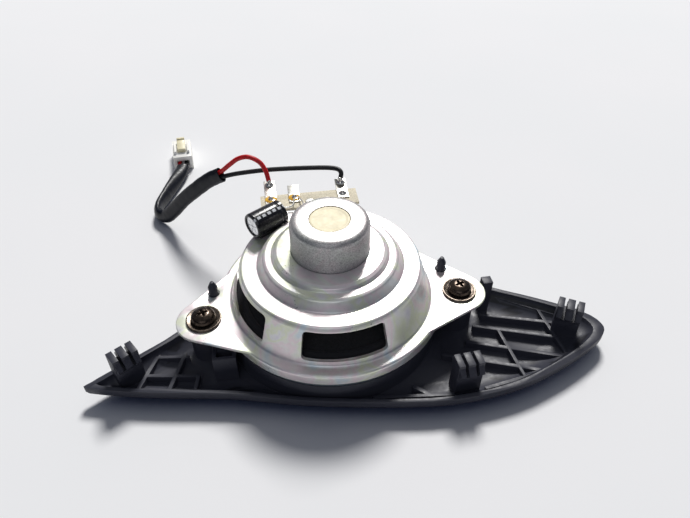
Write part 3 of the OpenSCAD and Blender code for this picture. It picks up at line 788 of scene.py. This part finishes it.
class LOUDSPEAKER_OT_basket(bpy.types.Operator):
    """Presses the basket, cuts its windows and adds its ears"""
    bl_idname = "loudspeaker.basket"
    bl_label = "Basket"

    ear_r = 8.6
    tangent_r = 32.4

    def ear_loop(self, side):
        """Outline of one ear: a round end, and straight sides tangent to the ring."""
        centre = Vector(EARS[1])
        base = atan2(centre.y, centre.x)
        swing = acos((self.tangent_r - self.ear_r) / centre.length)
        out = []
        for k in range(25):
            a = base - swing + 2 * swing * k / 24
            out.append(centre + self.ear_r * Vector((cos(a), sin(a))))
        for k in range(9):
            a = base + swing - 2 * swing * k / 8
            r = self.tangent_r if k in (0, 8) else 31.6
            out.append(r * Vector((cos(a), sin(a))))
        return [Vector((side * p.x, p.y)) for p in out]

    def window(self, centre, half, low=17.8, high=26.9):
        """Cutter with rounded corners, wider outside than inside."""
        corners = [(-half, low, 1.3), (half, low, 1.3), (half, high, 1.6), (-half, high, 1.6)]
        scaled = [(a * 0.5, z, r) for a, z, r in corners]
        outline = [(p.x / 0.5, p.y) for p in rounded(scaled, closed=True, steps=5)]
        sides = []
        for a, b in zip(outline, outline[1:] + outline[:1]):
            parts = max(1, int(abs(b[0] - a[0]) / 4))
            sides += [(a[0] + (b[0] - a[0]) * k / parts, a[1] + (b[1] - a[1]) * k / parts)
                      for k in range(parts)]
        loops = [[place(r * cos(radians(centre + a)), r * sin(radians(centre + a)), z)
                  for a, z in sides] for r in (23.0, 40.0)]
        return prism("window_cutter", loops[0], loops[1])

    def hole(self, x, y, r, low=10.0, high=30.0):
        clear_selection()
        bpy.ops.mesh.primitive_cylinder_add(vertices=48, radius=r * MM, depth=(high - low) * MM,
                                            location=place(x, y, (low + high) / 2))
        cutter = bpy.context.active_object
        settle(cutter)
        return cutter

    def execute(self, context):
        sizes, finish = context.scene.loudspeaker_sizes, context.scene.loudspeaker_finish
        profile = rounded([(36, 12.8), (36, FLANGE, 0.9), (32.3, FLANGE, 1.0), (28.85, 27.2, 1.9),
                           (28.2, DISC, 1.6), (22.9, DISC, 0.8), (21.2, 31.6, 1.4),
                           (20.3, 31.95, 1.0), (18.3, 32.1, 0.5), (17.7, 33.1, 0.6),
                           (16.6, 33.6, 0.8), (12.35, 34.1)], steps=6)
        basket = turned("basket_pressing", profile, closed=False)
        modify(basket, "SOLIDIFY", thickness=0.95 * MM, offset=-1, use_even_offset=True)
        tidy_mesh(basket)
        for centre, half in ((-90, 24), (90, 24), (0, 42), (180, 42)):
            cut_away(basket, self.window(centre, half))
        soften(basket, sizes.sheared, 48, 2)
        parts = [basket]
        for side, ear, pin in ((-1, EARS[0], PINS[0]), (1, EARS[1], PINS[1])):
            loop = self.ear_loop(side)
            plate = prism("ear", [place(p.x, p.y, UNDER + 0.02) for p in loop],
                          [place(p.x, p.y, FLANGE - 0.004) for p in loop])
            cut_away(plate, self.hole(*ear, 2.1), self.hole(*pin, 1.8))
            soften(plate, 0.28 * MM, 50, 3)
            parts.append(plate)
        tongue = block("tongue", (-6.5, 25, DISC - 0.8), (6.5, 33.5, DISC - 0.02), 0.15)
        cut_away(tongue, *[self.hole(x, 30, 1.0, 24, 32) for x in (-3, 3)])
        basket = gathered("basket_pressing", parts + [tongue])
        smooth(basket, 32)
        seat(basket, "frame", "basket_zinc", plated_zinc("basket_zinc", finish.zinc), "basket")
        foam = turned("gasket_foam", rounded([(31.4, SEAT), (34.9, SEAT, 0.5), (35.1, 12.4, 2),
                                              (34.9, 14.7, 0.4), (31.3, 14.7, 0.4),
                                              (31.1, 12.6, 2)], closed=True))
        smooth(foam, 40)
        seat(foam, "frame", "gasket_foam", fibrous("gasket_foam", (0.085, 0.105, 0.12)),
             "speaker_gasket")
        return {"FINISHED"}


# ---- Motor --------------------------------------------------------------------------


class LOUDSPEAKER_OT_motor(bpy.types.Operator):
    """Turns the motor pot, its cream disc and the magnet parts inside"""
    bl_idname = "loudspeaker.motor"
    bl_label = "Motor"

    def execute(self, context):
        finish = context.scene.loudspeaker_finish
        top = POT_TOP
        pot = turned("pot_shell", rounded([(0, top - 0.7), (6.2, top - 0.7), (6.25, top, 0.15),
                                           (12.2, top, 2.5), (12.2, 31.9, 0.3), (11.0, 31.9),
                                           (11.0, top - 1.6), (0, top - 1.6)], steps=8),
                     closed=False)
        smooth(pot, 40)
        seat(pot, "frame", "pot_zinc", grained_pot(finish.pot), "motor_pot")
        disc = turned("pot_disc", rounded([(0, top - 0.7), (6.15, top - 0.7),
                                           (6.15, top - 0.22, 0.2),
                                           (5.6, top - 0.12, 0.3), (4.9, top - 0.26, 0.4),
                                           (2.4, top - 0.2, 0.6), (0, top - 0.24)], steps=4),
                      closed=False)
        smooth(disc, 40)
        seat(disc, "frame", "plug_cream", glued_disc(finish.cream), "pot_plug")
        steel = plated_zinc("plate_steel", (0.55, 0.55, 0.53))
        refined("magnet", "frame", "magnet_black",
                fibrous("magnet_black", (0.06, 0.06, 0.065), 0.5, 0.02), 0.3 * MM)
        refined("pole_plate", "frame", "plate_steel", steel, 0.2 * MM)
        refined("yoke_ring", "frame", "plate_steel", steel, 0.15 * MM)
        return {"FINISHED"}


# ---- Moving assembly ----------------------------------------------------------------


class LOUDSPEAKER_OT_moving(bpy.types.Operator):
    """Makes the cone, cap, coil, surround, spider and lead-in braids"""
    bl_idname = "loudspeaker.moving"
    bl_label = "Cone and coil"

    def execute(self, context):
        low = DISC - 1.2
        cone = turned("cone_paper", rounded([(10.35, low), (18, 22.3, 30),
                                             (26.9, FLANGE + 0.2, 0.6),
                                             (28.2, FLANGE + 0.2), (28.2, FLANGE + 0.6),
                                             (27.1, FLANGE + 0.6, 0.6), (18.3, 22.9, 30),
                                             (10.35, low + 0.7)], closed=True, steps=8))
        smooth(cone, 40)
        seat(cone, "diaphragm", "cone_paper", fibrous("cone_paper", (0.020, 0.020, 0.022)), "cone")
        bowl = [(10.15 * sin(k * pi / 24), low - 3 * cos(k * pi / 24)) for k in range(13)]
        back = [(r * 0.975, z + 0.4) for r, z in reversed(bowl)]
        cap = turned("cap_dome", bowl + back, closed=False)
        smooth(cap, 40)
        seat(cap, "diaphragm", "cone_paper",
             fibrous("cap_cloth", (0.014, 0.014, 0.016), 0.75), "dust_cap")
        refined("coil_former", "diaphragm", "former_film",
                insulation("former_film", (0.48, 0.20, 0.045), 0.3), 0)
        wound = [(10.36, DISC + 4.6)]
        for k in range(20):
            z = DISC + 4.6 + 0.28 * k
            wound += [(10.56 + 0.14 * sin(pi * t / 4), z + 0.07 * t) for t in range(4)]
        wound += [(10.36, DISC + 10.2)]
        coil = turned("coil_turns", wound, steps=96)
        smooth(coil, 60)
        seat(coil, "diaphragm", "copper", bare_metal("copper", (0.78, 0.36, 0.16), 0.28),
             "coil_winding")
        rim, top, wall, parting = UNDER, FLANGE + 1.1, 0.42, 0.06
        roll = [(28.2 + 1.35 * (1 - cos(a)), top - 0.45 - 1.0 * sin(a))
                for a in (pi * k / 10 for k in range(11))]
        roll_cloth = woven("surround_cloth", (0.03, 0.03, 0.034))
        # The inner half rides the cone and the outer half stays with the basket
        near, far = roll[:6], [(r + parting, z) for r, z in roll[5:]]
        inner = turned("surround_inner", [(27.45, top - 0.45)] + near
                       + [(r, z + wall) for r, z in reversed(near)] + [(27.45, top - 0.03)])
        smooth(inner, 50)
        seat(inner, "diaphragm", "surround_cloth", roll_cloth)
        outer = turned("surround_outer", far + [(30.95, rim - 0.5), (34.8, rim - 0.5),
                       (34.8, rim - 0.03), (30.8, rim - 0.03)]
                       + [(r, z + wall) for r, z in reversed(far)])
        smooth(outer, 50)
        seat(outer, "frame", "surround_cloth", roll_cloth, "surround")
        waves = []
        for k in range(49):
            r = 10.45 + (20.2 - 10.45) * k / 48
            waves.append((r, DISC + 0.72 - 0.17 * (r - 10.45) + 0.42 * sin(k * pi / 5)))
        face = waves + [(21.4, low - 0.1), (25.6, low - 0.1)]
        damper = turned("spider_damper", face + [(r, z + wall) for r, z in reversed(face)])
        smooth(damper, 60)
        seat(damper, "frame", "spider_cloth", woven("spider_cloth", (0.42, 0.28, 0.10), 1.6),
             "spider")
        refined("tinsel_leads", "frame", "tinsel", woven("tinsel", (0.52, 0.38, 0.26), 3.0, 0.5),
                0, angle=60)
        return {"FINISHED"}


# ---- Panel ----------------------------------------------------------------------------


class LOUDSPEAKER_OT_panel(bpy.types.Operator):
    """Finishes the moulded corner panel and the cloth behind its slots"""
    bl_idname = "loudspeaker.panel"
    bl_label = "Grille panel"

    def execute(self, context):
        sizes, finish = context.scene.loudspeaker_sizes, context.scene.loudspeaker_finish
        # The last number brightens the panel's edges and rib tops as a painted highlight.
        plastic = moulded_plastic("panel_plastic", finish.panel, 0.42, 0.02, 3.0)
        refined("grille_panel", "frame", "panel_plastic", plastic, sizes.edge, 40, 2, 30)
        clear_selection()
        bpy.ops.mesh.primitive_circle_add(vertices=96, radius=27.7 * MM, fill_type="TRIFAN",
                                          location=place(0, 0, WALL + 0.14))
        cloth = context.active_object
        cloth.name = cloth.data.name = "cloth_disc"
        settle(cloth)
        bpy.ops.object.mode_set(mode="EDIT")
        bpy.ops.mesh.select_all(action="SELECT")
        bpy.ops.mesh.subdivide(number_cuts=5)
        bpy.ops.object.mode_set(mode="OBJECT")
        for vertex in cloth.data.vertices:
            spot = (vertex.co - AXIS) / MM
            if hypot(spot.x, spot.y) < 26.5:
                vertex.co.z -= 0.05 * MM * (1 + cos(2 * pi * spot.y / 3.4))
        modify(cloth, "SOLIDIFY", thickness=0.22 * MM, offset=0)
        smooth(cloth, 40)
        seat(cloth, "frame", "cloth", woven("cloth", (0.016, 0.016, 0.018), 2.6), "grille_cloth")
        return {"FINISHED"}


# ---- Fasteners --------------------------------------------------------------------------


class LOUDSPEAKER_OT_screws(bpy.types.Operator):
    """Turns the pan-head screws and their washers"""
    bl_idname = "loudspeaker.screws"
    bl_label = "Screws and washers"

    def cross(self, base):
        """Tapered cross for the driver recess."""
        arms = []
        for turn in (radians(20), radians(110)):
            clear_selection()
            bpy.ops.mesh.primitive_cube_add(size=1)
            arm = bpy.context.active_object
            for vertex in arm.data.vertices:
                wide = 1.0 if vertex.co.z > 0 else 0.42
                vertex.co = Vector((vertex.co.x * 4.2 * wide, vertex.co.y * (0.95 * wide + 0.1),
                                    vertex.co.z * 2.4)) * MM
            settle(arm, Matrix.Translation(base) @ Matrix.Rotation(turn, 4, "Z"))
            arms.append(arm)
        return arms

    def execute(self, context):
        top = FLANGE + 0.8
        x, y = EARS[0]
        screw = turned("screw", rounded([(0, top - 11), (0.6, top - 11), (1.45, top - 9.4),
                                         (1.45, top), (3.75, top, 0.1), (3.92, top + 0.5, 0.25),
                                         (3.5, top + 1.75, 1.6), (1.8, top + 2.5, 2.5),
                                         (0, top + 2.6)], steps=6), closed=False, steps=72,
                       centre=(x, y))
        cut_away(screw, *self.cross(place(x, y, top + 2.15)))
        soften(screw, 0.09 * MM, 40, 2)
        smooth(screw, 40)
        washer = turned("washer", rounded([(2.0, FLANGE), (5.5, FLANGE, 0.15), (5.5, top, 0.3),
                                           (4.9, top), (4.7, top - 0.12), (2.0, top)],
                                          closed=True), steps=72, centre=(x, y))
        smooth(washer, 40)
        over = Matrix.Translation(Vector((EARS[1][0] - x, 0, 0)) * MM)
        bronze = bare_metal("screw_black", (0.075, 0.055, 0.042), 0.22, 0.35)
        seat(gathered("screws", [screw, copied(screw, over)]), "frame", "screw_black", bronze,
             "mounting_screws")
        seat(gathered("washers", [washer, copied(washer, over)]), "frame", "washer_bronze",
             bare_metal("washer_bronze", (0.13, 0.105, 0.085), 0.26, 0.45), "screw_washers")
        return {"FINISHED"}


# ---- Capacitor --------------------------------------------------------------------------


class LOUDSPEAKER_OT_capacitor(bpy.types.Operator):
    """Makes the blocking capacitor, its sleeve, bung, leads and adhesive"""
    bl_idname = "loudspeaker.capacitor"
    bl_label = "Capacitor"

    def lay_down(self, obj):
        """Turns a piece made upright on the axis into the capacitor's place."""
        move = (Matrix.Translation(place(CAP_FROM[0], CAP_FROM[1], CAP_Z))
                @ Matrix.Rotation(CAP_TURN, 4, "Z") @ Matrix.Rotation(pi / 2, 4, "Y")
                @ Matrix.Translation(-AXIS))
        settle(obj, move)
        return obj

    def execute(self, context):
        film = turned("cap_film", rounded([(3.25, -0.05, 0.1), (3.3, -0.3, 0.1), (4.0, -0.3, 0.4),
                                           (4.25, 0.4, 0.4), (4.25, 9.2, 0.5), (4.05, 9.7, 0.4),
                                           (4.25, 10.2, 0.4), (4.25, 11.4, 0.2), (4.0, 11.5),
                                           (4.0, 0.0)], closed=True), steps=96)
        self.lay_down(film)
        smooth(film, 45)
        seat(film, "frame", "cap_sleeve", sleeve_print("cap_sleeve"), "capacitor_sleeve")
        can = turned("cap_can", rounded([(0, 0.12), (3.3, 0.12, 0.1), (3.7, -0.02, 0.2),
                                         (3.98, 0.2, 0.2), (3.98, 10.95, 0.2), (3.6, 11.0),
                                         (3.6, 9.1), (0, 9.1)],
                                        steps=4), closed=False, steps=96)
        scores = []
        for turn in (15, 75, 135):
            scores.append(block("score", (-2.6, -0.11, -0.2), (2.6, 0.11, 0.26), 0))
            spin = (Matrix.Translation(AXIS) @ Matrix.Rotation(radians(turn), 4, "Z")
                    @ Matrix.Translation(-AXIS))
            settle(scores[-1], spin)
        cut_away(can, *scores)
        self.lay_down(can)
        smooth(can, 40)
        seat(can, "frame", "can", bare_metal("can", (0.86, 0.87, 0.88), 0.24, 0.86),
             "capacitor_can")
        refined("capacitor_bung", "frame", "bung",
                fibrous("bung", (0.02, 0.02, 0.02), 0.7, 0.02), 0.1 * MM)
        refined("capacitor_leads", "frame", "tinned", bare_metal("tinned", (0.80, 0.79, 0.76)),
                0, angle=60)
        glue = refined("adhesive_pad", "frame", "adhesive",
                       insulation("adhesive", (0.012, 0.012, 0.014), 0.3), 0.5 * MM, 40, 3)
        smooth(glue, 60)
        return {"FINISHED"}


# ---- Terminals --------------------------------------------------------------------------


class LOUDSPEAKER_OT_terminals(bpy.types.Operator):
    """Makes the terminal board, its tags, rivets and solder"""
    bl_idname = "loudspeaker.terminals"
    bl_label = "Terminals"

    def joint(self, x, y, z, r, h):
        """Solder fillet: concave sides and a domed top."""
        profile = [(r * (1 - 0.62 * sin(k * pi / 12) ** 0.8), h * (k / 6) ** 1.3) for k in range(6)]
        profile += [(r * 0.30, h * 0.9), (r * 0.18, h * 0.98), (0, h)]
        points = [(a, z + b) for a, b in profile]
        return turned("joint", [(0, z - 0.05)] + points, closed=False, steps=32, centre=(x, y))

    def execute(self, context):
        refined("terminal_board", "frame", "board",
                fibrous("board", (0.66, 0.60, 0.46), 0.7, 0.02), 0.1 * MM)
        refined("terminal_tags", "frame", "tinned", bare_metal("tag_tin", (0.80, 0.78, 0.72)),
                0.09 * MM)
        refined("board_rivets", "frame", "rivet", bare_metal("rivet", (0.74, 0.73, 0.70)),
                0.3 * MM, 40, 3)
        dice = random.Random(7)
        board_top, row = DISC + 1.5, 33
        joints = [self.joint(x, row, board_top, 1.6, 1.3) for x, _ in TAGS]
        joints += [self.joint(TAGS[k][0], TAGS[k][1] - 1.6, DISC + 2.5, 1.7, 1.9) for k in (0, 2)]
        solder = gathered("solder", joints)
        for vertex in solder.data.vertices:
            vertex.co.x += dice.uniform(-0.03, 0.03) * MM
            vertex.co.y += dice.uniform(-0.03, 0.03) * MM
        pool = [(2.1 * cos(k * pi / 16), board_top + 0.42 * sin(k * pi / 16)) for k in range(8)]
        pools = [turned("pool", [(0, board_top)] + pool + [(0, DISC + 1.92)], closed=False,
                        steps=32, centre=(x, row)) for x, _ in TAGS[:2]]
        rosin = gathered("rosin", pools)
        smooth(rosin, 60)
        amber = Finish("rosin", Specular_IOR_Level=0.5)
        amber.colour(amber.ramp(amber.noise(0.8, 3, 0.6), (0.3, (0.55, 0.24, 0.02)),
                                (0.65, (0.85, 0.52, 0.06))))
        amber.rough(0.12)
        seat(rosin, "frame", "solder", amber.material)
        smooth(solder, 60)
        seat(solder, "frame", "solder", bare_metal("solder", (0.82, 0.80, 0.74), 0.2),
             "solder_joints")
        return {"FINISHED"}


# ---- Sidebar and registration -----------------------------------------------------------


OPERATORS = (LOUDSPEAKER_OT_stage, LOUDSPEAKER_OT_cable, LOUDSPEAKER_OT_panel,
             LOUDSPEAKER_OT_basket, LOUDSPEAKER_OT_motor, LOUDSPEAKER_OT_moving,
             LOUDSPEAKER_OT_screws, LOUDSPEAKER_OT_capacitor, LOUDSPEAKER_OT_terminals)


class LOUDSPEAKER_PT_sidebar(bpy.types.Panel):
    """Sizes, colours and building steps of the loudspeaker"""
    bl_idname = "LOUDSPEAKER_PT_sidebar"
    bl_label = "Loudspeaker"
    bl_space_type = "VIEW_3D"
    bl_region_type = "UI"
    bl_category = "Loudspeaker"

    def draw(self, context):
        for group in (context.scene.loudspeaker_sizes, context.scene.loudspeaker_finish):
            box = self.layout.box()
            for name in group.bl_rna.properties.keys():
                if name not in ("rna_type", "name"):
                    box.prop(group, name)
        for operator in OPERATORS:
            self.layout.operator(operator.bl_idname)


CLASSES = (LoudspeakerSizes, LoudspeakerFinish, *OPERATORS, LOUDSPEAKER_PT_sidebar)


def register():
    for item in CLASSES:
        bpy.utils.register_class(item)
    bpy.types.Scene.loudspeaker_sizes = bpy.props.PointerProperty(type=LoudspeakerSizes)
    bpy.types.Scene.loudspeaker_finish = bpy.props.PointerProperty(type=LoudspeakerFinish)


def unregister():
    del bpy.types.Scene.loudspeaker_finish
    del bpy.types.Scene.loudspeaker_sizes
    for item in reversed(CLASSES):
        bpy.utils.unregister_class(item)


def main():
    register()
    for operator in OPERATORS:
        group, name = operator.bl_idname.split(".")
        getattr(getattr(bpy.ops, group), name)()
    clear_selection()
    for obj in bpy.context.scene.objects:
        if obj.type in ("MESH", "CURVE") and obj.name != "floor":
            bpy.data.collections["lit_by_card"].objects.link(obj)


if __name__ == "__main__":
    main()
